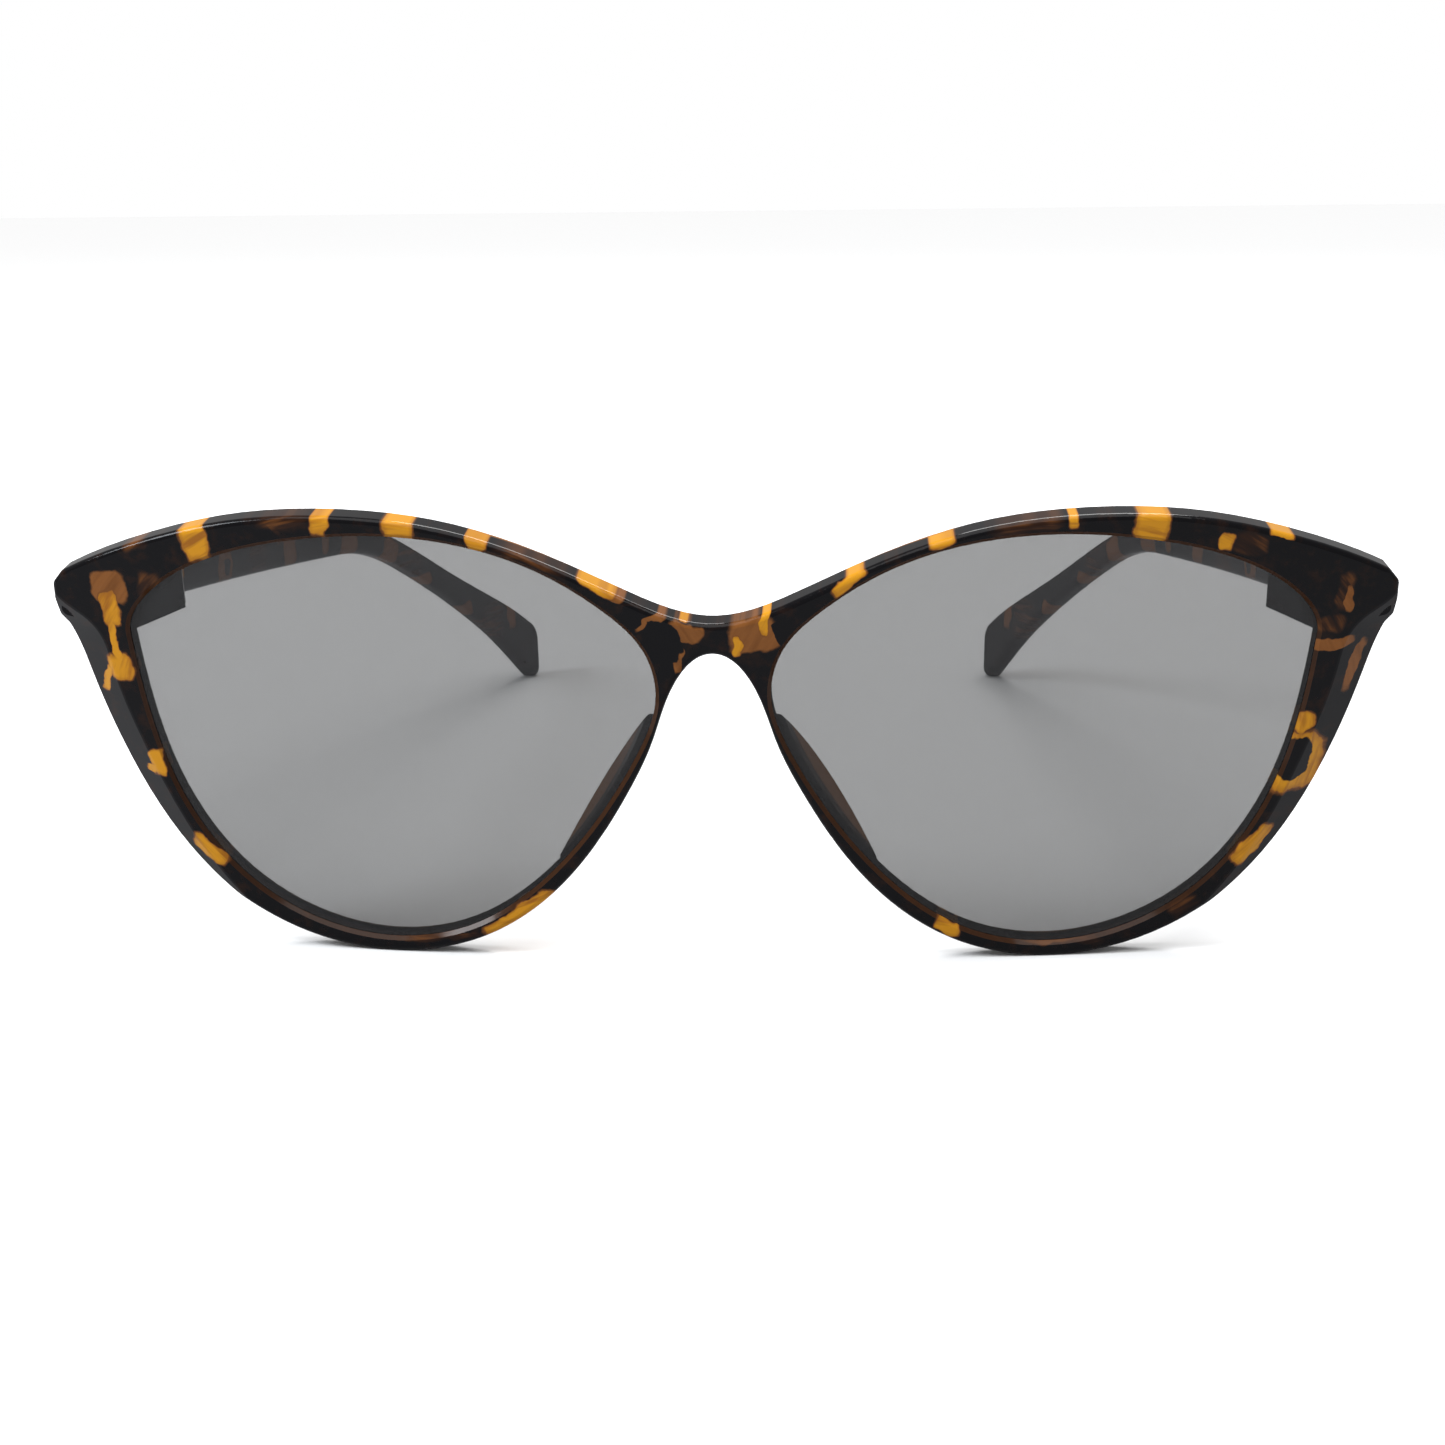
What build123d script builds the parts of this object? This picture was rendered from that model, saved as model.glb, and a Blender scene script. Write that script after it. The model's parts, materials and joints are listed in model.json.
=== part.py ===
"""Cat eye sunglasses: moulded front, two tinted lenses and two folding temples on metal hinges.

Millimetres, +Z up, +X to the wearer's left. The front looks along -Y and the temples run back along +Y.
The glasses stand open on a table at Z = 0: on the lower edges of both rims and on the tips of the
temples. The origin is on the table, in the middle of the width and depth. The wearer's left half is
modelled, and the right half is its mirror image.
"""

import os
from math import cos, hypot, radians, sin

from build123d import *

# Front: its outline lies in a plane whose top leans forward, wrapped round an upright cylinder.
FRONT_TILT = 6.8
FRONT_Y = -64.74
FRONT_Z = -0.3
WRAP_RADIUS = 335.0
RIM_DEPTH = 3.2
OUTER_EDGE_RADIUS = 0.6
CORNER_RADIUS = 0.8
OPENING_BEVEL = 0.4
BACK_BEVEL = 0.6
FRONT_WIDTH = 150.0
FRONT_HEIGHT = 60.0

# Lens and its groove.
LENS_RELIEF = 0.5
LENS_THICKNESS = 1.8
GROOVE_DEPTH = 0.5
LENS_STEPS = 28
GROOVE_CLEARANCE = 0.05

# Side facets, which slope back from a ridge on each side of the front.
FACET_ACROSS = 65.0
FACET_SLOPE = (0.92, -0.38, 0.68)
FACET_DEPTH = 8.0
BEYOND_RIDGE = [(-18, -20), (30, -20), (30, 45), (10, 45)]

# Nose pads, moulded with the front. They stand back from the rims and lean a little to the lenses.
PAD_THICKNESS = 1.3
PAD_REACH = 5.0
PAD_LENGTH = 22.0
PAD_FLARE = 12.0
PAD_START = 1.8
PAD_EDGE_RADIUS = 0.5
PAD_CENTRE = (11.6, 19.2)
PAD_AWAY = (0.87, 0.49)

# End piece and hinge. The hinge axis is parallel to the front, behind the butt joint.
END_START = 8.2
END_EDGE_RADIUS = 0.8
BUTT_DEPTH = 13.5
BUTT_GAP = 0.15
HINGE_X = 64.0
HINGE_UP = 39.3
BARREL_RADIUS = 1.4
AXIS_BEHIND_BUTT = 1.5
BARREL_COUNT = 5
BARREL_HEIGHT = 0.95
BARREL_GAP = 0.05
PIN_RADIUS = 0.7
PIN_CLEARANCE = 0.05
LEAF_THICKNESS = 0.9
PLATE_INBOARD = 4.6
PLATE_SCREW_INBOARD = 3.1
PLATE_GAP = 0.2
LEAF_CORNER_RADIUS = 1.2
LEAF_OUTLINE = [(1.8, 2.1), (9.6, 1.6), (9.6, -2.7), (1.8, -2.1)]
WEB_THICKNESS = 0.8
WEB_CENTRE = (0.92, 1.0)
WEB_SIZE = (0.92, 2.8)
PIN_HEAD_HEIGHT = 0.7
PIN_HEAD_RADIUS = 1.3
PIN_HEAD_ROUND = 0.25
PIN_SLOT = 0.4

# Small countersunk screws that hold the leaves.
SCREW_HEAD_RADIUS = 0.85
SCREW_HEAD_DEPTH = 0.4
SCREW_SHANK_RADIUS = 0.45
SCREW_CLEARANCE = 0.03
SCREW_BITE = 1.8
SCREW_SPACING = 2.5
TEMPLE_SCREWS = [(4.2, 0.25), (7.6, 0.5)]
SCREW_SLOT_LENGTH = 1.1
SCREW_SLOT_WIDTH = 0.26
SCREW_SLOT_DEPTH = 0.2

# Temple. Its two edges in side view are (back, up) from the middle of its root at the butt joint.
TEMPLE_OFFSET = 1.8
TEMPLE_THICKNESS = 2.7
TEMPLE_INWARD = 5.6
TEMPLE_LEAD = 4.0
PLAN_STRAIGHT = 25.0
PLAN_RADIUS = 335.0
PLAN_ARC = 24.0
TEMPLE_TOP = [(-4, 2.9), (64, -4.1), (88, -11.5), (100.6, -18), (112.6, -24.2), (119.6, -28.1), (125.4, -32)]
TEMPLE_FOOT = [(-4, -2.5), (66, -8.9), (79, -11.6), (88, -15.6), (105.5, -25.6), (114, -31.6), (125.7, -42)]
TIP_TOP_RADIUS = 4.0
TIP_FOOT_RADIUS = 1.3
TEMPLE_EDGE_RADIUS = 0.9

ACROSS = Vector(1, 0, 0)
UP = Vector(0, -sin(radians(FRONT_TILT)), cos(radians(FRONT_TILT)))
BACK = Vector(0, cos(radians(FRONT_TILT)), sin(radians(FRONT_TILT)))
FRONT_ORIGIN = Vector(0, FRONT_Y, FRONT_Z)
FRONT = Plane(origin=FRONT_ORIGIN, x_dir=ACROSS, z_dir=-BACK)

# Outlines of the wearer's left half of the front, as (across, up) points on the front plane.
TOP_EDGE = [(0, 39.1), (9, 41.8), (18, 45.9), (28, 49.0), (39, 50.1), (51, 49.2), (61, 46.6), (70.5, 42.7)]
CORNER = [(71.7, 41.3), (71.7, 37.3), (70.9, 36.3)]
SIDE_EDGE = [(70.3, 34.5), (68.9, 30), (65.2, 20), (58.8, 10), (47.3, 2), (36.2, 0), (26.5, 2), (17.8, 8)]
NOSE_EDGE = [(12.9, 14), (9.3, 20), (6.5, 26), (4.3, 32), (0, 35.8)]
LENS_OUTLINE = [
    (63.3, 36), (62.1, 27), (59.2, 17.4), (52.0, 7.6), (44.5, 3.3), (36.5, 1.8), (27.6, 3.5),
    (16.3, 12.3), (9.7, 21.7), (6.3, 34), (12.1, 41), (22.4, 46.3), (34, 48.1), (48, 46.6), (59.1, 42),
]
RIDGE = [
    (71.9, 41.7), (70.4, 39.3), (68.0, 37.6), (66.4, 35.5), (65.6, 32.3), (63.1, 24), (57.7, 12.5),
    (47.2, 1.6),
]
PAD_LINE = [(6.2, 29.1), (8.3, 23.7), (11.3, 18.3), (15.8, 12.1), (19.5, 8.6)]
END_AT_RIM = [(60.5, 45.0), (70.9, 42.0), (71.2, 37.6), (63.6, 35.8)]
END_AT_BUTT = [(59.2, 42.0), (69.0, 42.0), (69.0, 36.6), (59.2, 36.6)]


def front_point(across, up, back):
    """A point given by its place on the front plane and its depth behind it."""
    return FRONT_ORIGIN + ACROSS * across + UP * up + BACK * back


def front_plane(depth, across=0.0, up=0.0):
    """Plane parallel to the front, at a depth behind it, facing forward."""
    return Plane(origin=front_point(across, up, depth), x_dir=ACROSS, z_dir=-BACK)


def level_plane(across=0.0, up=0.0, depth=0.0):
    """Plane square to the front's own upright: local x is across, local y is backward."""
    return Plane(origin=front_point(across, up, depth), x_dir=ACROSS, z_dir=UP)


def curved_layer(near, far):
    """Wrapped slab between two depths behind the front surface."""
    with BuildPart() as layer:
        with BuildSketch(level_plane(up=FRONT_HEIGHT / 2)):
            with Locations((0, WRAP_RADIUS)):
                Circle(WRAP_RADIUS - near)
                Circle(WRAP_RADIUS - far, mode=Mode.SUBTRACT)
            Rectangle(FRONT_WIDTH, FRONT_HEIGHT, mode=Mode.INTERSECT)
        extrude(amount=FRONT_HEIGHT, both=True)
    return layer.part


def front_outline():
    """Closed outline of the whole front, both halves."""
    with BuildSketch(FRONT) as outline:
        with BuildLine():
            top = Spline(*TOP_EDGE, tangents=[(1, 0), (1, -0.52)], tangent_scalars=[1, 1])
            end = Polyline(top @ 1, *CORNER)
            lower = [end @ 1, *SIDE_EDGE, *NOSE_EDGE]
            Spline(*lower, tangents=[(-0.35, -0.94), (-1, 0)], tangent_scalars=[1, 1])
            mirror(about=Plane.YZ)
        make_face()
        fillet(outline.vertices().filter_by(lambda vertex: abs(vertex.X) > 69), CORNER_RADIUS)
    return outline.sketch


def lens_curve(margin):
    """Closed lens outline grown outward by a margin, on the front plane's own axes."""
    outline = Edge.make_spline([Vector(*point) for point in LENS_OUTLINE], periodic=True)
    grown = []
    for step in range(LENS_STEPS):
        along = step / LENS_STEPS
        tangent = outline.tangent_at(along)
        grown.append(outline.position_at(along) + Vector(-tangent.Y, tangent.X) * margin)
    return grown


def lens_shape(margin, near, far):
    """Left lens outline grown by a margin, between two depths behind the front surface."""
    with BuildPart() as shape:
        with BuildSketch(FRONT):
            with BuildLine():
                Spline(*lens_curve(margin), periodic=True)
            make_face()
        extrude(amount=BUTT_DEPTH, both=True)
        add(curved_layer(near, far), mode=Mode.INTERSECT)
    return shape.part


def end_piece():
    """Block behind the left corner that carries the hinge and meets the temple."""
    with BuildPart() as block:
        for depth, corners in ((END_START, END_AT_RIM), (BUTT_DEPTH, END_AT_BUTT)):
            with BuildSketch(front_plane(depth)):
                with BuildLine():
                    Polyline(*corners, close=True)
                make_face()
        loft(ruled=True)
        lengthwise = [edge for edge in block.edges() if abs(edge.tangent_at(0.5).dot(BACK)) > 0.8]
        fillet(lengthwise, END_EDGE_RADIUS)
    return block.part


def side_facet():
    """Tool that cuts the sloping facet between the ridge and the left outer edge."""
    turn = FACET_ACROSS / WRAP_RADIUS
    facing = (-BACK * cos(turn) + ACROSS * sin(turn)).normalized()
    start = front_point(FACET_ACROSS, 0, WRAP_RADIUS * (1 - cos(turn)))
    plane = Plane(origin=start, x_dir=ACROSS * cos(turn) + BACK * sin(turn), z_dir=facing)
    outward, upward, backward = FACET_SLOPE
    slope = (ACROSS * outward + UP * upward - facing * backward).normalized()
    with BuildPart() as tool:
        with BuildSketch(plane):
            with BuildLine():
                ridge = Spline(*[(across - FACET_ACROSS, up) for across, up in RIDGE])
                Polyline(ridge @ 1, *BEYOND_RIDGE, ridge @ 0)
            make_face()
        extrude(amount=FACET_DEPTH, dir=slope)
    return tool.part


def nose_pad():
    """Moulded fin behind the left rim's nose side, with a round free edge."""
    flare = radians(PAD_FLARE)
    away = ACROSS * PAD_AWAY[0] + UP * PAD_AWAY[1]
    run = (BACK * cos(flare) + away * sin(flare)).normalized()
    along = (ACROSS * PAD_AWAY[1] - UP * PAD_AWAY[0]).normalized()
    centre = front_point(*PAD_CENTRE, PAD_START)
    with BuildPart() as pad:
        with BuildSketch(front_plane(PAD_START)):
            with BuildLine():
                Spline(*PAD_LINE)
            trace(line_width=PAD_THICKNESS)
        extrude(amount=2 * PAD_REACH, dir=run)
        with BuildSketch(Plane(origin=centre, x_dir=along, z_dir=along.cross(run))):
            with BuildLine():
                base = Line((-PAD_LENGTH / 2, 0), (PAD_LENGTH / 2, 0))
                ThreePointArc(base @ 1, (0, PAD_REACH), base @ 0)
            make_face()
        extrude(amount=PAD_LENGTH, both=True, mode=Mode.INTERSECT)
        free_edges = [edge for edge in pad.edges() if (edge.center() - centre).dot(run) > PAD_REACH / 4]
        fillet(free_edges, PAD_EDGE_RADIUS)
    return pad.part


def both_sides(solid):
    """A solid of the wearer's left half together with its mirror image."""
    return [solid, mirror(solid, about=Plane.YZ)]


def depth_of(point):
    """How far a point lies behind the wrapped front surface."""
    from_origin = point - FRONT_ORIGIN
    return WRAP_RADIUS - hypot(from_origin.X, WRAP_RADIUS - from_origin.dot(BACK))


def edges_at_depth(solid, depth):
    """Edges that follow the wrap at one depth."""
    return [
        edge
        for edge in solid.edges()
        if all(abs(depth_of(edge.position_at(t)) - depth) < 0.02 for t in (0.1, 0.5, 0.9))
    ]


def front_blank():
    """Wrapped slab of the front with its side facets and rounded outer edges, before the openings."""
    with BuildPart() as blank:
        extrude(front_outline(), amount=BUTT_DEPTH, dir=BACK, both=True)
        add(curved_layer(0, RIM_DEPTH), mode=Mode.INTERSECT)
        for facet in both_sides(side_facet()):
            add(facet, mode=Mode.SUBTRACT)
        fillet(edges_at_depth(blank, 0), OUTER_EDGE_RADIUS)
    return blank.part


def front_frame():
    """Moulded front: rims, bridge, end pieces and nose pads in one piece."""
    groove_near = LENS_RELIEF - GROOVE_CLEARANCE
    groove_far = LENS_RELIEF + LENS_THICKNESS + GROOVE_CLEARANCE
    with BuildPart() as front:
        add(front_blank())
        for opening in both_sides(lens_shape(0, -RIM_DEPTH, 2 * RIM_DEPTH)):
            add(opening, mode=Mode.SUBTRACT)
        chamfer([edge for edge in edges_at_depth(front, 0) if edge.is_closed], OPENING_BEVEL)
        chamfer([edge for edge in edges_at_depth(front, RIM_DEPTH) if edge.is_closed], BACK_BEVEL)
        for part in both_sides(end_piece()) + both_sides(nose_pad()):
            add(part)
        for groove in both_sides(lens_shape(GROOVE_DEPTH, groove_near, groove_far)):
            add(groove, mode=Mode.SUBTRACT)
        for plane in front_screw_planes():
            for hole in both_sides(countersunk(plane, SCREW_CLEARANCE)):
                add(hole, mode=Mode.SUBTRACT)
    return front.part


def lens():
    """Left lens: a tinted sheet wrapped like the front, with its rim in the groove."""
    return lens_shape(GROOVE_DEPTH - GROOVE_CLEARANCE, LENS_RELIEF, LENS_RELIEF + LENS_THICKNESS)


def temple_plan():
    """Left temple seen from above, with its root at the butt joint."""
    heading = Vector(-sin(radians(TEMPLE_INWARD)), cos(radians(TEMPLE_INWARD)))
    root = front_point(HINGE_X + TEMPLE_OFFSET + TEMPLE_THICKNESS / 2, HINGE_UP, BUTT_DEPTH)
    start = Vector(root.X, root.Y) - heading * TEMPLE_LEAD
    with BuildSketch(Plane.XY) as plan:
        with BuildLine():
            lead = Line(start, start + heading * (PLAN_STRAIGHT + TEMPLE_LEAD))
            JernArc(lead @ 1, heading, PLAN_RADIUS, PLAN_ARC)
        trace(line_width=TEMPLE_THICKNESS)
    return plan.sketch


def temple_edge(points):
    """One edge of the temple in side view: straight at first, then a smooth curve to the tip."""
    root = front_point(0, HINGE_UP, BUTT_DEPTH)
    places = [(root.Y + back, root.Z + up) for back, up in points]
    straight = Line(places[0], places[1])
    curve = Spline(*places[1:], tangents=[straight % 1, Vector(*places[-1]) - Vector(*places[-2])])
    return straight @ 0, curve @ 1


def temple_side():
    """Left temple seen from the side: straight to the ear, then bent down to a wider tip."""
    with BuildSketch(Plane.YZ) as side:
        with BuildLine():
            top_root, top_tip = temple_edge(TEMPLE_TOP)
            foot_root, foot_tip = temple_edge(TEMPLE_FOOT)
            Line(top_root, foot_root)
            Line(top_tip, foot_tip)
        make_face()
        fillet(side.vertices().sort_by_distance(top_tip)[0], TIP_TOP_RADIUS)
        fillet(side.vertices().sort_by_distance(foot_tip)[0], TIP_FOOT_RADIUS)
    return side.sketch


def temple():
    """Left temple."""
    butt = front_plane(BUTT_DEPTH + BUTT_GAP)
    with BuildPart() as arm:
        extrude(temple_plan(), amount=FRONT_HEIGHT, dir=(0, 0, 1), both=True)
        extrude(temple_side(), amount=FRONT_WIDTH / 2, dir=(1, 0, 0), mode=Mode.INTERSECT)
        split(bisect_by=butt, keep=Keep.BOTTOM)
        long_edges = arm.edges().filter_by(lambda edge: (edge.center() - butt.origin).dot(BACK) > 0.3)
        fillet(long_edges, TEMPLE_EDGE_RADIUS)
        for plane in temple_screw_planes():
            add(countersunk(plane, SCREW_CLEARANCE), mode=Mode.SUBTRACT)
    return arm.part


def barrel_bottom(index):
    """Height of a hinge barrel's lower face on the front's own upright."""
    stack = BARREL_COUNT * BARREL_HEIGHT + (BARREL_COUNT - 1) * BARREL_GAP
    return HINGE_UP - stack / 2 + index * (BARREL_HEIGHT + BARREL_GAP)


def axis_plane(up):
    """Plane square to the hinge axis with its origin on the axis."""
    return level_plane(HINGE_X, up, BUTT_DEPTH + AXIS_BEHIND_BUTT)


def countersunk(plane, clearance=0.0):
    """Small countersunk screw whose head lies in the plane, or its hole when given a clearance."""
    with BuildPart() as screw:
        with BuildSketch(plane):
            Circle(SCREW_HEAD_RADIUS + clearance)
        extrude(amount=-SCREW_HEAD_DEPTH, taper=45)
        with BuildSketch(plane):
            Circle(SCREW_SHANK_RADIUS + clearance)
        extrude(amount=-(LEAF_THICKNESS + SCREW_BITE + clearance))
        if not clearance:
            with BuildSketch(plane):
                Rectangle(SCREW_SLOT_LENGTH, SCREW_SLOT_WIDTH)
            extrude(amount=-SCREW_SLOT_DEPTH, mode=Mode.SUBTRACT)
    return screw.part


def front_screw_planes():
    """Head planes of the two screws in the front leaf."""
    across = HINGE_X - PLATE_SCREW_INBOARD
    behind = BUTT_DEPTH + LEAF_THICKNESS
    return [
        Plane(origin=front_point(across, HINGE_UP + higher, behind), x_dir=ACROSS, z_dir=BACK)
        for higher in (-SCREW_SPACING / 2, SCREW_SPACING / 2)
    ]


def temple_inner_plane(behind_axis, drop):
    """Plane on the leaf's inner face, a distance behind the hinge axis, facing the wearer."""
    inward = radians(TEMPLE_INWARD)
    along = Vector(-sin(inward), cos(inward), 0)
    outward = Vector(cos(inward), sin(inward), 0)
    root = front_point(HINGE_X + TEMPLE_OFFSET + TEMPLE_THICKNESS / 2, HINGE_UP, BUTT_DEPTH)
    face = root - outward * (TEMPLE_THICKNESS / 2 + LEAF_THICKNESS)
    origin = face + along * (AXIS_BEHIND_BUTT + behind_axis) - Vector(0, 0, drop)
    return Plane(origin=origin, x_dir=along, z_dir=-outward)


def temple_screw_planes():
    """Head planes of the two screws in the temple leaf."""
    return [temple_inner_plane(behind_axis, drop) for behind_axis, drop in TEMPLE_SCREWS]


def front_leaf():
    """Hinge leaf on the left end piece: a plate with three barrels."""
    base = barrel_bottom(0)
    height = barrel_bottom(BARREL_COUNT - 1) + BARREL_HEIGHT - base
    plate_width = PLATE_INBOARD - BARREL_RADIUS - PLATE_GAP
    plate_x = -PLATE_INBOARD + plate_width / 2
    plate_y = -AXIS_BEHIND_BUTT + LEAF_THICKNESS / 2
    with BuildPart() as leaf:
        with BuildSketch(axis_plane(base)):
            with Locations((plate_x, plate_y)):
                Rectangle(plate_width, LEAF_THICKNESS)
        extrude(amount=height)
        for index in range(0, BARREL_COUNT, 2):
            with BuildSketch(axis_plane(barrel_bottom(index))):
                Circle(BARREL_RADIUS)
                with Locations((-BARREL_RADIUS / 2 - PLATE_GAP, plate_y + 0.05)):
                    Rectangle(BARREL_RADIUS + PLATE_GAP, WEB_THICKNESS)
            extrude(amount=BARREL_HEIGHT)
        with BuildSketch(axis_plane(base)):
            Circle(PIN_RADIUS + PIN_CLEARANCE)
        extrude(amount=height, mode=Mode.SUBTRACT)
        for plane in front_screw_planes():
            add(countersunk(plane, SCREW_CLEARANCE), mode=Mode.SUBTRACT)
    return leaf.part


def temple_leaf():
    """Hinge leaf on the left temple: a plate with two barrels between those of the front leaf."""
    base = barrel_bottom(0)
    with BuildPart() as leaf:
        with BuildSketch(temple_inner_plane(0, 0)) as outline:
            with BuildLine():
                Polyline(*LEAF_OUTLINE, close=True)
            make_face()
            fillet(outline.vertices().sort_by(Axis.X)[-2:], LEAF_CORNER_RADIUS)
        extrude(amount=-LEAF_THICKNESS)
        for index in range(1, BARREL_COUNT, 2):
            with BuildSketch(axis_plane(barrel_bottom(index))):
                Circle(BARREL_RADIUS)
                with Locations(WEB_CENTRE):
                    Rectangle(*WEB_SIZE)
            extrude(amount=BARREL_HEIGHT)
        with BuildSketch(axis_plane(base)):
            Circle(PIN_RADIUS + PIN_CLEARANCE)
        extrude(amount=HINGE_UP, mode=Mode.SUBTRACT)
        for plane in temple_screw_planes():
            add(countersunk(plane, SCREW_CLEARANCE), mode=Mode.SUBTRACT)
    return leaf.part


def hinge_screw():
    """Slotted screw that is the left hinge's pin, with its head on the top barrel."""
    base = barrel_bottom(0)
    top = barrel_bottom(BARREL_COUNT - 1) + BARREL_HEIGHT
    with BuildPart() as screw:
        with BuildSketch(axis_plane(base)):
            Circle(PIN_RADIUS)
        extrude(amount=top - base)
        with BuildSketch(axis_plane(top)):
            Circle(PIN_HEAD_RADIUS)
        extrude(amount=PIN_HEAD_HEIGHT)
        fillet(screw.edges().sort_by(Axis.Z)[-1], PIN_HEAD_ROUND)
        with BuildSketch(axis_plane(top + PIN_HEAD_HEIGHT)):
            Rectangle(2.5 * PIN_HEAD_RADIUS, PIN_SLOT)
        extrude(amount=-PIN_HEAD_HEIGHT / 2, mode=Mode.SUBTRACT)
    return screw.part


def write_node(name, solids):
    """Label one node and write it to its own STEP file."""
    with BuildPart() as node:
        for solid in solids:
            add(solid)
    node.part.label = name
    export_step(node.part, f"parts/{name}.step")


def write_pair(name, solids):
    """Write a left-hand node and its mirror image on the wearer's right."""
    write_node(f"{name}_left", solids)
    write_node(f"{name}_right", [mirror(solid, about=Plane.YZ) for solid in solids])


def main():
    os.makedirs("parts", exist_ok=True)
    write_node("front_frame", [front_frame()])
    write_pair("lens", [lens()])
    write_pair("temple", [temple()])
    write_pair("hinge_front_leaf", [front_leaf()])
    write_pair("hinge_temple_leaf", [temple_leaf()])
    write_pair("hinge_screw", [hinge_screw()])
    write_pair("front_leaf_screws", [countersunk(plane) for plane in front_screw_planes()])
    write_pair("temple_leaf_screws", [countersunk(plane) for plane in temple_screw_planes()])


main()
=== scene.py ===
"""Looks for a pair of cat eye sunglasses: polished tortoiseshell, grey lenses and small steel hinges.

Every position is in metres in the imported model's frame. The tortoiseshell patches are listed in millimetres,
because they are placed on the front's own plane and along the temples.
"""

import json
import math

import bpy
from mathutils import Matrix, Vector


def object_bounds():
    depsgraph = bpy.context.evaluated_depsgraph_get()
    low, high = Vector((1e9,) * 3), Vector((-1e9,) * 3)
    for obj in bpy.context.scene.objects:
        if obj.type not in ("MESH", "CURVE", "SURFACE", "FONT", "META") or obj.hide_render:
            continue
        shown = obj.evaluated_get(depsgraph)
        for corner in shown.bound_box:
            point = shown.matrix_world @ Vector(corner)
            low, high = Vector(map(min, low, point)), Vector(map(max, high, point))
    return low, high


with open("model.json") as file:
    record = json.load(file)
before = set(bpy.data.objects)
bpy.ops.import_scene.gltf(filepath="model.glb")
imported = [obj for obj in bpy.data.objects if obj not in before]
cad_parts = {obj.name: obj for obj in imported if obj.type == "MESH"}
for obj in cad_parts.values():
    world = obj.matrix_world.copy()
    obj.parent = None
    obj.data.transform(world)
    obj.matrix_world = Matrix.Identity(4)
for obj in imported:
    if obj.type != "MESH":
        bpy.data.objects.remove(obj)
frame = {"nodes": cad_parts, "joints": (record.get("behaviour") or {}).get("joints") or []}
bpy.context.view_layer.update()
CAD_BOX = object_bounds()

MM = 0.001
WORLD_UP = Vector((0, 0, 1))

# The front stands along the hinge axis, so heights on it are measured along that axis.
HINGE = frame["joints"][0]
UPRIGHT = Vector(HINGE["axis"])
HINGE_PLACE = Vector(HINGE["pos_m"])
BACKWARD = Vector((0, UPRIGHT.z, -UPRIGHT.y))
HINGE_HEIGHT = 39.3                   # mm from the lower edge of the front's plane to the joint
HINGE_DEPTH = 15.0                    # mm from the middle of the front's face back to the joint

LENS_CENTRE = (34.5, 25.5)            # mm on the front's plane, for the fine lines that follow the rims
LENS_HALF_SIZE = (29.0, 23.5)

# Colours are in linear light.
SHELL_BLACK = (0.0035, 0.0033, 0.0042)
SHELL_DEEP = (0.030, 0.011, 0.005)
SHELL_BROWN = (0.17, 0.060, 0.014)
SHELL_WARM = (0.24, 0.088, 0.022)
SHELL_ORANGE = (0.33, 0.118, 0.012)
SHELL_AMBER = (0.60, 0.262, 0.013)
# The pads' own brown, made brighter as painted light standing in for light passing through them.
PAD_BROWN_AND_PAINTED_GLOW = (0.40, 0.17, 0.055)
LENS_GREY = (0.020, 0.020, 0.0205)
STEEL = (0.56, 0.55, 0.53)
SCREW_STEEL = (0.42, 0.41, 0.40)
FLOOR_WHITE = (0.93, 0.93, 0.93)
# Painted shade: the floor's colour for every ray but the camera's, so that reflections in the plastic and
# light bounced onto it are darker.
FLOOR_PAINTED_SHADE = (0.42, 0.42, 0.43)  # what the polished plastic sees of it
WINDOW_BLUE = (0.90, 0.95, 1.0)

SHELL_IOR = 1.49
SHELL_SPECULAR = 0.15
LENS_IOR = 1.5
LENS_ALPHA = 0.58

# The tortoiseshell's noise, in repeats a millimetre, and how far it pushes the patches' edges, in mm.
SLOW_NOISE = 0.22
QUICK_NOISE = 0.7
CLOUD_NOISE = 0.55
SLOW_PUSH = 1.8
QUICK_PUSH = 0.9

# Where the pads and the bevels round the lenses get painted light, a lighter brown standing in for light
# passing through them: places and depths behind the front's face in mm, and how squarely a bevel has to face
# the middle of its lens, from 0 to 1.
PAD_DEPTHS = (3.3, 3.9)
PAD_ACROSS = (26, 22)
BEVEL_DEPTHS = (9.0, 8.0)
BEVEL_TILTS = (0.5, 0.65)

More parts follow.
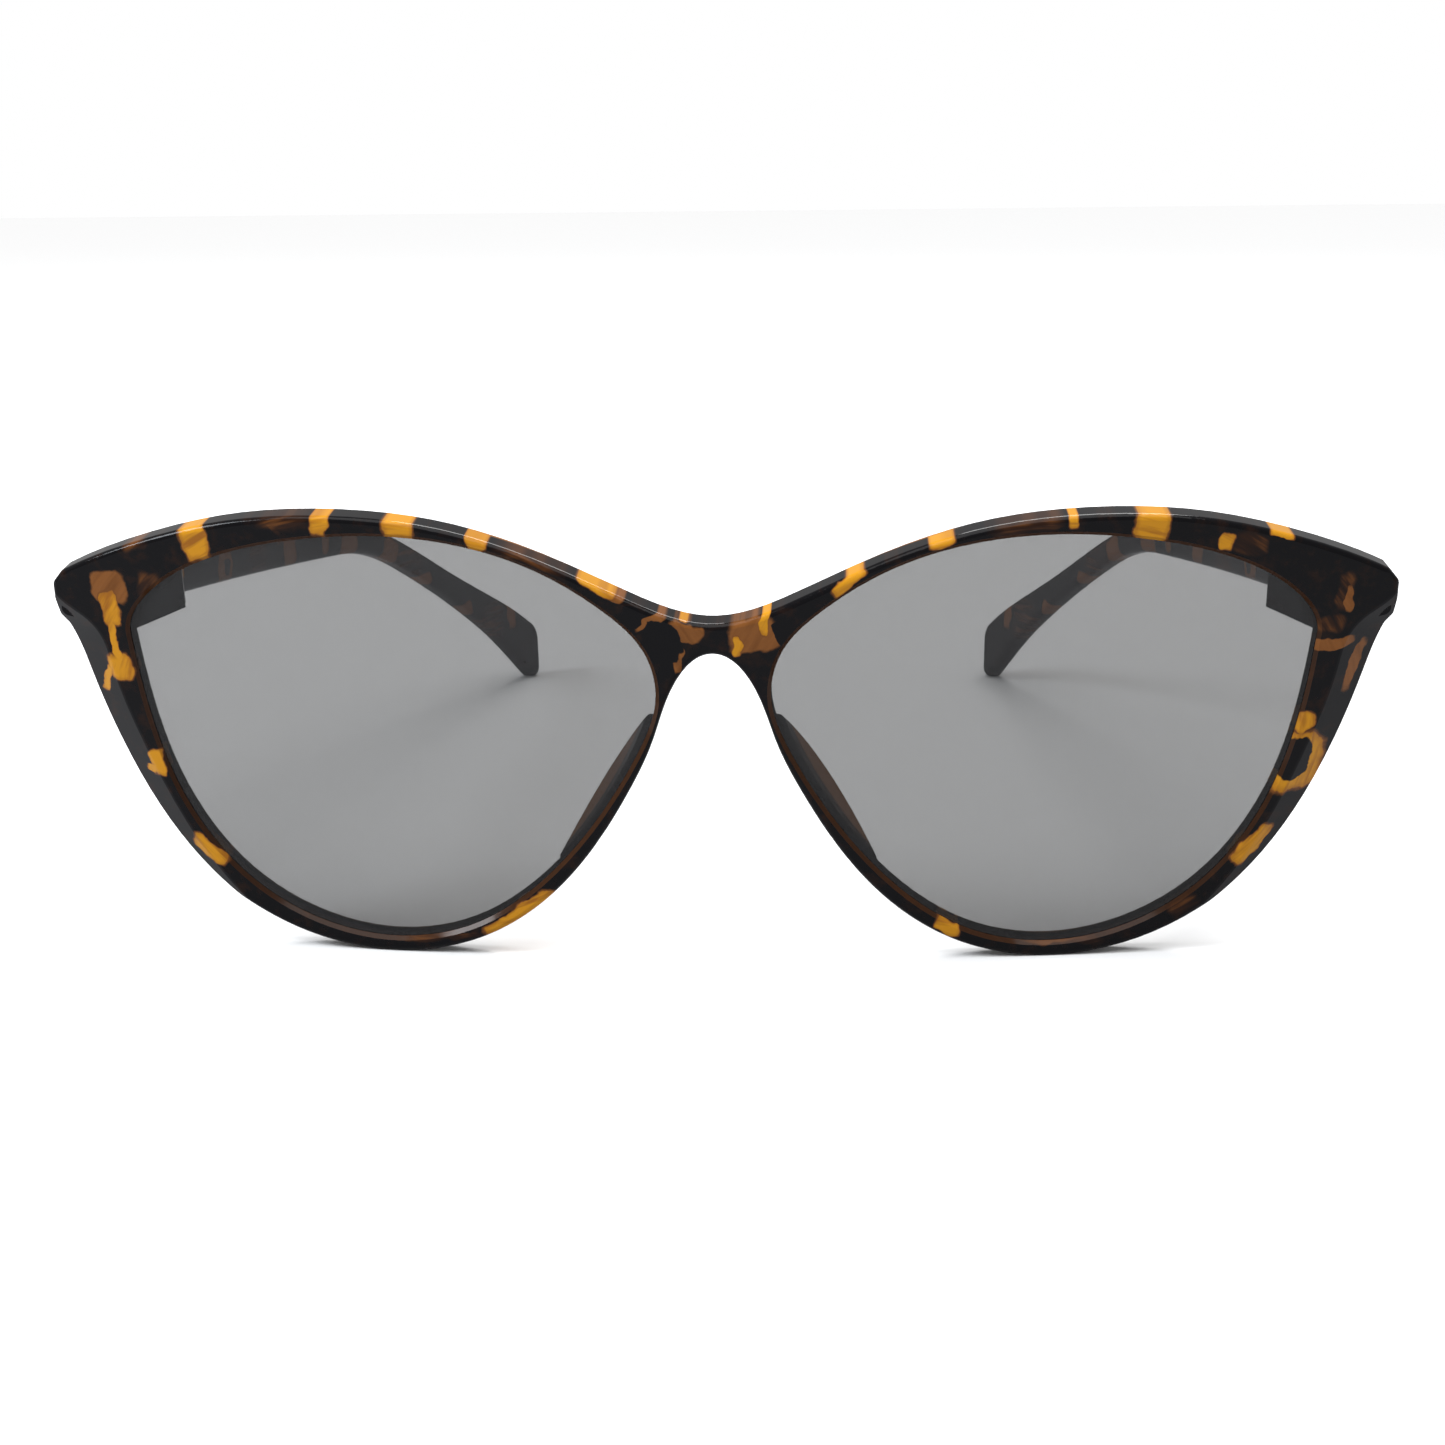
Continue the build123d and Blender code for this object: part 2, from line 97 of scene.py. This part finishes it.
# Patches on the front: x, height, half width, half height, turn in degrees.
FRONT_AMBER = (
    (-64.5, 46.1, 1.1, 0.6, 20), (-54.9, 47.6, 1.6, 3.0, 14), (-65.2, 38.9, 1.0, 2.0, 5),
    (-65.0, 35.2, 0.45, 2.6, 8), (-64.7, 32.1, 1.3, 1.5, 14), (-66.6, 30.6, 0.45, 1.7, -25),
    (-61.9, 21.1, 0.9, 1.4, 0), (-62.9, 20.2, 0.7, 0.5, 0),
    (-56.8, 11.2, 2.2, 0.9, -38), (-48.6, 50.9, 0.8, 0.7, 0), (-40.7, 50.0, 0.8, 1.9, 0),
    (-32.4, 49.5, 1.6, 2.1, 6), (-24.1, 48.2, 0.9, 1.2, 20), (-17.8, 46.8, 1.2, 0.6, -18),
    (-11.9, 43.5, 2.2, 0.8, -33), (-4.2, 40.4, 1.8, 0.45, -15), (-21.8, 5.2, 4.4, 1.0, 34),
    (2.8, 36.8, 0.45, 0.9, 0), (5.6, 39.4, 0.4, 1.4, -10), (14.1, 43.7, 1.8, 0.7, 46),
    (23.6, 47.9, 1.4, 0.9, 20), (37.0, 50.2, 0.7, 1.6, 0), (45.1, 49.0, 1.6, 1.8, -8),
    (53.2, 46.9, 0.8, 0.8, -10), (58.7, 47.5, 1.2, 0.4, -20),
    (62.6, 25.9, 1.2, 1.1, 25), (62.4, 21.4, 3.2, 3.2, 0),
    (58.0, 12.2, 2.6, 1.0, 44), (25.0, 4.1, 1.4, 0.7, -35),
)
FRONT_WARM = (
    (-2.8, 38.3, 1.6, 1.0, -25), (-6.4, 39.2, 1.7, 0.5, 25), (-3.7, 35.2, 0.45, 1.3, 0),
    (4.4, 38.0, 2.5, 1.7, 10), (-10.5, 42.3, 1.6, 0.5, -33), (-65.0, 41.4, 1.9, 1.7, 0),
    (65.0, 34.9, 2.2, 0.6, 0), (67.9, 32.0, 0.6, 2.8, -20), (66.5, 39.8, 0.4, 1.3, -8),
)
FRONT_BROWN = (
    (-61.7, 46.5, 1.6, 1.1, 20), (-44.5, 49.8, 3.1, 1.4, 0), (-46.2, 48.9, 1.3, 0.3, -45),
    (-18.5, 46.3, 4.0, 1.2, -20),
    (32.2, 49.7, 3.5, 1.6, 4), (55.7, 46.5, 1.7, 1.3, -10), (66.1, 40.6, 1.0, 2.0, -8),
    (64.4, 37.1, 1.6, 1.1, 0), (50.8, 5.4, 1.8, 1.0, 40), (-31.0, 2.2, 5.0, 0.6, 3),
    (37.0, 2.0, 5.0, 0.6, -3), (-60.4, 41.5, 1.2, 1.6, 0), (9.5, 8.0, 1.5, 2.5, -20),
)
FRONT_DARK = (
    (-5.2, 37.0, 1.8, 2.2, 0), (61.9, 22.0, 2.0, 2.2, 0),
    (7.6, 38.0, 1.0, 1.6, 20), (-8.3, 39.6, 0.9, 1.2, 0),
)
# Patches on the temples: distance from the middle of the glasses, height, half length, half height, turn.
TEMPLE_AMBER = (
    (-41.0, 39.0, 1.6, 1.6, 0), (-8.5, 38.0, 1.4, 1.5, 0),
)
TEMPLE_WARM = (
    (-26.5, 36.5, 2.0, 2.5, 0), (-6.0, 35.5, 1.8, 3.0, 0), (5.0, 34.5, 1.0, 2.0, 0),
    (12.5, 32.5, 2.4, 2.2, -15), (24.6, 28.0, 2.2, 3.2, -20), (35.5, 22.5, 2.0, 1.6, 0),
    (61.0, 13.0, 1.2, 3.2, 0), (-48.0, 40.0, 2.0, 3.0, 0), (48.0, 15.0, 1.6, 2.0, 20),
)
TEMPLE_BROWN = ((-16.0, 36.0, 3.0, 3.0, 0), (30.0, 26.0, 5.0, 4.0, -20), (55.0, 12.0, 4.0, 4.0, 0))
TEMPLE_DARK = ((-26.0, 36.5, 0.8, 1.0, 0), (24.0, 27.0, 0.8, 1.0, 0))

CAMERA_PLACE = Vector((0.01288, -0.28813, 0.08590))
CAMERA_TARGET = Vector((0.00091, -0.06745, 0.02766))
CAMERA_LENS = 54.04                   # mm on a 36 mm sensor
CAMERA_ROLL = -0.67                   # degrees
CAMERA_SENSOR = 36                    # mm
CAMERA_NEAR = 0.01

FLOOR_REACH = 3.0
BACK_BOX_POWER = 5.0
WINDOW_POWER = 7.0
OVERHEAD_SPREAD = 60                  # degrees
OVERHEAD_LEAN = 15                    # degrees
OVERHEAD_POWER = 2.2
SURROUND_SEEN = 1.0
SURROUND_LIGHT = 0.40                 # what lights the glasses


class Surface:
    """A material under construction: its nodes, and short ways to join them."""

    def __init__(self, name):
        self.material = bpy.data.materials.new(name)
        self.material.use_nodes = True
        self.tree = self.material.node_tree
        self.shader = self.tree.nodes["Principled BSDF"]
        self.place = self.node("ShaderNodeTexCoord").outputs["Object"]

    def node(self, kind, **settings):
        made = self.tree.nodes.new(kind)
        for name, value in settings.items():
            setattr(made, name, value)
        return made

    def feed(self, socket, value):
        """Joins value to the socket if it is another socket, and otherwise sets it."""
        if isinstance(value, bpy.types.NodeSocket):
            self.tree.links.new(value, socket)
        elif socket.type == "RGBA":
            socket.default_value = (*value, 1)
        else:
            socket.default_value = value

    def math(self, operation, *values):
        made = self.node("ShaderNodeMath", operation=operation)
        for socket, value in zip(made.inputs, values):
            self.feed(socket, value)
        return made.outputs[0]

    def vector(self, operation, *values, output="Vector"):
        made = self.node("ShaderNodeVectorMath", operation=operation)
        for socket, value in zip(made.inputs, values):
            self.feed(socket, value)
        return made.outputs[output]

    def scaled(self, vector, factor):
        made = self.node("ShaderNodeVectorMath", operation="SCALE")
        self.feed(made.inputs[0], vector)
        self.feed(made.inputs["Scale"], factor)
        return made.outputs["Vector"]

    def dot(self, a, b):
        return self.vector("DOT_PRODUCT", a, b, output="Value")

    def combine(self, *values):
        made = self.node("ShaderNodeCombineXYZ")
        for socket, value in zip(made.inputs, values):
            self.feed(socket, value)
        return made.outputs[0]

    def split(self, vector):
        made = self.node("ShaderNodeSeparateXYZ")
        self.feed(made.inputs[0], vector)
        return made.outputs[0], made.outputs[1], made.outputs[2]

    def noise(self, vector, scale, detail=2.0, roughness=0.5, colour=False):
        made = self.node("ShaderNodeTexNoise")
        self.feed(made.inputs["Vector"], vector)
        made.inputs["Scale"].default_value = scale
        made.inputs["Detail"].default_value = detail
        made.inputs["Roughness"].default_value = roughness
        return made.outputs["Color" if colour else "Fac"]

    def between(self, value, start, end, low=0.0, high=1.0):
        """Goes smoothly from low to high as value goes from start to end."""
        made = self.node("ShaderNodeMapRange", interpolation_type="SMOOTHSTEP")
        for socket, setting in zip(made.inputs, (value, start, end, low, high)):
            self.feed(socket, setting)
        return made.outputs[0]

    def mix(self, share, a, b):
        made = self.node("ShaderNodeMix", data_type="RGBA")
        self.feed(made.inputs["Factor"], share)
        colours = [socket for socket in made.inputs if socket.type == "RGBA"]
        for socket, value in zip(colours, (a, b)):
            self.feed(socket, value)
        return next(socket for socket in made.outputs if socket.type == "RGBA")

    def ramp(self, value, *stops):
        """A colour ramp through stops of (position, colour)."""
        made = self.node("ShaderNodeValToRGB")
        self.feed(made.inputs[0], value)
        points = made.color_ramp.elements
        while len(points) < len(stops):
            points.new(0.5)
        for point, (position, colour) in zip(points, stops):
            point.position = position
            point.color = (*colour, 1)
        return made.outputs["Color"]

    def bump(self, height, distance, strength):
        made = self.node("ShaderNodeBump")
        made.inputs["Distance"].default_value = distance
        made.inputs["Strength"].default_value = strength
        self.feed(made.inputs["Height"], height)
        return made.outputs["Normal"]

    def finish(self, **inputs):
        """Sets the shader's inputs, named with underscores for spaces."""
        for name, value in inputs.items():
            self.feed(self.shader.inputs[name.replace("_", " ")], value)
        return self.material


def nearest_patch(surface, flat, patches):
    """About 0 at the middle of the nearest patch and 1 at its edge, for rounded rectangles on a plane."""
    nearest = None
    for across, up, half_width, half_height, turn in patches:
        mapping = surface.node("ShaderNodeMapping", vector_type="TEXTURE")
        surface.feed(mapping.inputs["Vector"], flat)
        mapping.inputs["Location"].default_value = (across, up, 0)
        mapping.inputs["Rotation"].default_value = (0, 0, math.radians(turn))
        mapping.inputs["Scale"].default_value = (half_width, half_height, 1)
        squared = surface.vector("MULTIPLY", mapping.outputs[0], mapping.outputs[0])
        fourth = surface.dot(squared, squared)
        nearest = fourth if nearest is None else surface.math("MINIMUM", nearest, fourth)
    return surface.math("POWER", nearest, 0.25)


def wandering(surface, flat, coarse, fine):
    """The flat coordinates, pushed about by noise so that patches get irregular outlines."""
    middle = (0.5, 0.5, 0.5)
    slow = surface.vector("SUBTRACT", surface.noise(flat, SLOW_NOISE, 2, colour=True), middle)
    quick = surface.vector("SUBTRACT", surface.noise(flat, QUICK_NOISE, 2, 0.4, colour=True), middle)
    pushed = surface.vector("ADD", surface.scaled(slow, coarse), surface.scaled(quick, fine))
    pushed = surface.vector("MULTIPLY", pushed, (1, 1, 0))
    return surface.vector("ADD", flat, pushed)


def tortoiseshell(surface, flat, along, amber, warm, brown, dark):
    """Black plastic with lists of amber, warm brown, dark brown and black patches, and fine flow lines.

    flat holds the two coordinates that the patches use, and along holds coordinates that change fast across
    the flow and slowly along it.
    """
    irregular = wandering(surface, flat, SLOW_PUSH, QUICK_PUSH)
    lines = surface.noise(along, 1.0, 2, 0.55)
    cloud = surface.noise(flat, CLOUD_NOISE, 3, 0.6)
    wobble = surface.math("MULTIPLY_ADD", lines, 0.16, surface.math("MULTIPLY_ADD", cloud, 0.30, -0.23))
    amber_reach, warm_reach, brown_reach, dark_reach = (
        surface.math("ADD", nearest_patch(surface, irregular, patches), wobble)
        for patches in (amber, warm, brown, dark)
    )

    body = surface.mix(surface.between(cloud, 0.48, 0.75, 0, 0.45), SHELL_BLACK, SHELL_DEEP)
    browns = surface.ramp(lines, (0.25, SHELL_BLACK), (0.50, SHELL_DEEP), (0.75, SHELL_BROWN))
    colour = surface.mix(surface.between(brown_reach, 1.15, 0.60, 0, 0.9), body, browns)
    warms = surface.ramp(lines, (0.25, SHELL_BROWN), (0.60, SHELL_WARM))
    colour = surface.mix(surface.between(warm_reach, 1.12, 0.88, 0, 0.95), colour, warms)

    ambers = surface.ramp(lines, (0.28, SHELL_ORANGE), (0.50, SHELL_AMBER))
    shaded = surface.mix(surface.between(amber_reach, 0.70, 1.0, 0, 0.6), ambers, SHELL_ORANGE)
    halo = surface.mix(surface.between(amber_reach, 1.18, 1.0), colour, SHELL_BROWN)
    colour = surface.mix(surface.between(amber_reach, 1.04, 0.96), halo, shaded)
    return surface.mix(surface.between(dark_reach, 1.04, 0.96), colour, SHELL_BLACK)


def polish(surface, colour):
    """Polished moulded plastic: a clear gloss with faint waviness and hairline wear."""
    waves = surface.noise(surface.place, 110, 2, 0.5)
    smudges = surface.noise(surface.place, 420, 3, 0.6)
    return surface.finish(
        Base_Color=colour,
        Roughness=surface.between(smudges, 0.30, 0.75, 0.07, 0.16),
        IOR=SHELL_IOR,
        Specular_IOR_Level=SHELL_SPECULAR,
        Normal=surface.bump(waves, 0.00002, 0.35),
    )


def front_shell():
    surface = Surface("tortoiseshell_front")
    millimetres = surface.scaled(surface.place, 1 / MM)
    across = surface.split(millimetres)[0]
    from_hinge = surface.vector("SUBTRACT", surface.place, HINGE_PLACE)
    up = surface.math("ADD", surface.dot(from_hinge, UPRIGHT / MM), HINGE_HEIGHT)
    depth = surface.math("ADD", surface.dot(from_hinge, BACKWARD / MM), HINGE_DEPTH)
    flat = surface.combine(across, up, 0.0)

    sideways = surface.math("SUBTRACT", surface.math("ABSOLUTE", across), LENS_CENTRE[0])
    upward = surface.math("SUBTRACT", up, LENS_CENTRE[1])
    round_lens = surface.combine(
        surface.math("DIVIDE", sideways, LENS_HALF_SIZE[0]),
        surface.math("DIVIDE", upward, LENS_HALF_SIZE[1]),
        0.0,
    )
    outward = surface.vector("LENGTH", round_lens, output="Value")
    along = surface.combine(
        surface.math("MULTIPLY", across, 0.16),
        surface.math("MULTIPLY", up, 0.16),
        surface.math("MULTIPLY", outward, 34.0),
    )
    colour = tortoiseshell(surface, flat, along, FRONT_AMBER, FRONT_WARM, FRONT_BROWN, FRONT_DARK)

    # The nose pads get their own brown made brighter, and the bevel round each lens a lighter brown where it
    # faces the lens's middle: both are painted light, standing in for light passing through the thin plastic.
    beside_nose = surface.between(surface.math("ABSOLUTE", across), *PAD_ACROSS)
    # Painted light: the pads are mixed towards a brighter brown, as if lit through.
    pad_painted_glow = surface.math("MULTIPLY", beside_nose, surface.between(depth, *PAD_DEPTHS, 0, 0.9))
    colour = surface.mix(pad_painted_glow, colour, PAD_BROWN_AND_PAINTED_GLOW)
    normal = surface.node("ShaderNodeTexCoord").outputs["Normal"]
    side = surface.math("SIGN", across)
    from_lens_centre = surface.combine(surface.math("MULTIPLY", sideways, side), 0.0, upward)
    outward_way = surface.vector("NORMALIZE", from_lens_centre)
    inward_tilt = surface.math("MULTIPLY", surface.dot(normal, outward_way), -1.0)
    # Painted light: faces that turn towards the middle of their lens get a lighter brown, standing in for
    # light through the thin rim.
    painted_light_by_facing = surface.between(inward_tilt, *BEVEL_TILTS, 0, 0.22)
    bevel_painted_light = surface.math("MULTIPLY", painted_light_by_facing, surface.between(depth, *BEVEL_DEPTHS))
    colour = surface.mix(bevel_painted_light, colour, SHELL_BROWN)
    return polish(surface, colour)


def temple_shell():
    surface = Surface("tortoiseshell_temple")
    across, back, up = surface.split(surface.scaled(surface.place, 1 / MM))
    flat = surface.combine(back, up, 0.0)
    along = surface.combine(
        surface.math("MULTIPLY", back, 0.12),
        surface.math("MULTIPLY", across, 0.3),
        surface.math("MULTIPLY", up, 1.8),
    )
    colour = tortoiseshell(surface, flat, along, TEMPLE_AMBER, TEMPLE_WARM, TEMPLE_BROWN, TEMPLE_DARK)
    return polish(surface, colour)


def lens_tint():
    surface = Surface("tinted_lens")
    film = surface.noise(surface.place, 60, 3, 0.6)
    return surface.finish(
        Base_Color=LENS_GREY,
        Roughness=surface.between(film, 0.35, 0.7, 0.03, 0.06),
        IOR=LENS_IOR,
        Alpha=LENS_ALPHA,
    )


def steel(name, colour, roughness, grain):
    """Brushed metal, with its grain along X so that it shows on the leaves and the screw heads."""
    surface = Surface(name)
    stretched = surface.vector("MULTIPLY", surface.place, (0.15, 1, 1))
    lines = surface.noise(stretched, grain, 3, 0.6)
    stain = surface.noise(surface.place, 500, 3, 0.6)
    darker = tuple(0.6 * part for part in colour)
    return surface.finish(
        Base_Color=surface.mix(surface.between(stain, 0.35, 0.75), colour, darker),
        Metallic=1.0,
        Roughness=surface.between(lines, 0.3, 0.7, roughness, roughness + 0.16),
        Normal=surface.bump(lines, 0.00001, 0.5),
    )


def dress(node, material):
    """Gives a CAD node its material."""
    mesh = frame["nodes"][node].data
    mesh.materials.clear()
    mesh.materials.append(material)


def build_materials():
    hinge_metal = steel("hinge_metal", STEEL, 0.24, 9000)
    screw_metal = steel("screw_metal", SCREW_STEEL, 0.20, 12000)
    shell_temple = temple_shell()
    tint = lens_tint()
    dress("front_frame", front_shell())
    for side in ("left", "right"):
        dress(f"lens_{side}", tint)
        dress(f"temple_{side}", shell_temple)
        dress(f"hinge_front_leaf_{side}", hinge_metal)
        dress(f"hinge_temple_leaf_{side}", hinge_metal)
        for screws in ("hinge_screw", "front_leaf_screws", "temple_leaf_screws"):
            dress(f"{screws}_{side}", screw_metal)


def build_floor():
    """A wide white table top at the object's foot, with a soft even paper surface; only the camera sees it
    white, and every other ray sees painted shade, a darker grey.
    """
    mesh = bpy.data.meshes.new("floor")
    reach = FLOOR_REACH
    low = CAD_BOX[0].z
    corners = [(x, y, low) for x, y in ((-reach, -reach), (reach, -reach), (reach, reach), (-reach, reach))]
    mesh.from_pydata(corners, [], [(0, 1, 2, 3)])
    floor = bpy.data.objects.new("floor", mesh)
    bpy.context.scene.collection.objects.link(floor)
    surface = Surface("floor_paper")
    fibre = surface.noise(surface.place, 350, 3, 0.6)
    roughness = surface.between(fibre, 0.3, 0.7, 0.75, 0.9)
    # Painted shade: reflections and bounced light see the floor a darker grey than the camera does.
    seen = surface.node("ShaderNodeLightPath").outputs["Is Camera Ray"]
    colour = surface.mix(seen, FLOOR_PAINTED_SHADE, FLOOR_WHITE)
    mesh.materials.append(surface.finish(Base_Color=colour, Roughness=roughness))


def area_light(name, place, target, size, power, colour=(1, 1, 1)):
    light = bpy.data.lights.new(name, "AREA")
    light.shape = "RECTANGLE"
    light.size, light.size_y = size
    light.energy = power
    light.color = colour
    lamp = bpy.data.objects.new(name, light)
    lamp.location = place
    lamp.rotation_mode = "QUATERNION"
    lamp.rotation_quaternion = (Vector(target) - Vector(place)).to_track_quat("-Z", "Y")
    bpy.context.scene.collection.objects.link(lamp)


def build_light():
    """A wide soft light overhead, a soft box behind, one at the wearer's right, and a pale surround."""
    middle = (CAD_BOX[0] + CAD_BOX[1]) / 2
    area_light("back_box", (0.1, 0.5, 0.8), middle, (0.5, 0.3), BACK_BOX_POWER)
    area_light("window", (-0.75, -0.35, 0.65), middle, (0.35, 0.35), WINDOW_POWER, WINDOW_BLUE)
    sky = bpy.data.lights.new("overhead", "SUN")
    sky.angle = math.radians(OVERHEAD_SPREAD)
    sky.energy = OVERHEAD_POWER
    overhead = bpy.data.objects.new("overhead", sky)
    overhead.rotation_euler = (math.radians(OVERHEAD_LEAN), 0, 0)
    bpy.context.scene.collection.objects.link(overhead)

    world = bpy.data.worlds.new("surround")
    world.use_nodes = True
    tree = world.node_tree
    background = tree.nodes["Background"]
    background.inputs["Color"].default_value = (1, 1, 1, 1)
    path = tree.nodes.new("ShaderNodeLightPath")
    level = tree.nodes.new("ShaderNodeMapRange")
    tree.links.new(path.outputs["Is Camera Ray"], level.inputs["Value"])
    level.inputs["To Min"].default_value = SURROUND_LIGHT
    level.inputs["To Max"].default_value = SURROUND_SEEN
    tree.links.new(level.outputs[0], background.inputs["Strength"])
    bpy.context.scene.world = world
    bpy.context.scene.view_settings.view_transform = "Standard"


def build_camera():
    camera = bpy.data.objects.new("camera", bpy.data.cameras.new("camera"))
    camera.data.lens = CAMERA_LENS
    camera.data.sensor_width = CAMERA_SENSOR
    camera.data.clip_start = CAMERA_NEAR
    away = (CAMERA_PLACE - CAMERA_TARGET).normalized()
    right = WORLD_UP.cross(away).normalized()
    upright = Matrix((right, away.cross(right), away)).transposed()
    roll = Matrix.Rotation(math.radians(CAMERA_ROLL), 3, "Z")
    camera.matrix_world = Matrix.Translation(CAMERA_PLACE) @ (upright @ roll).to_4x4()
    bpy.context.scene.collection.objects.link(camera)
    bpy.context.scene.camera = camera


build_materials()
build_floor()
build_light()
build_camera()
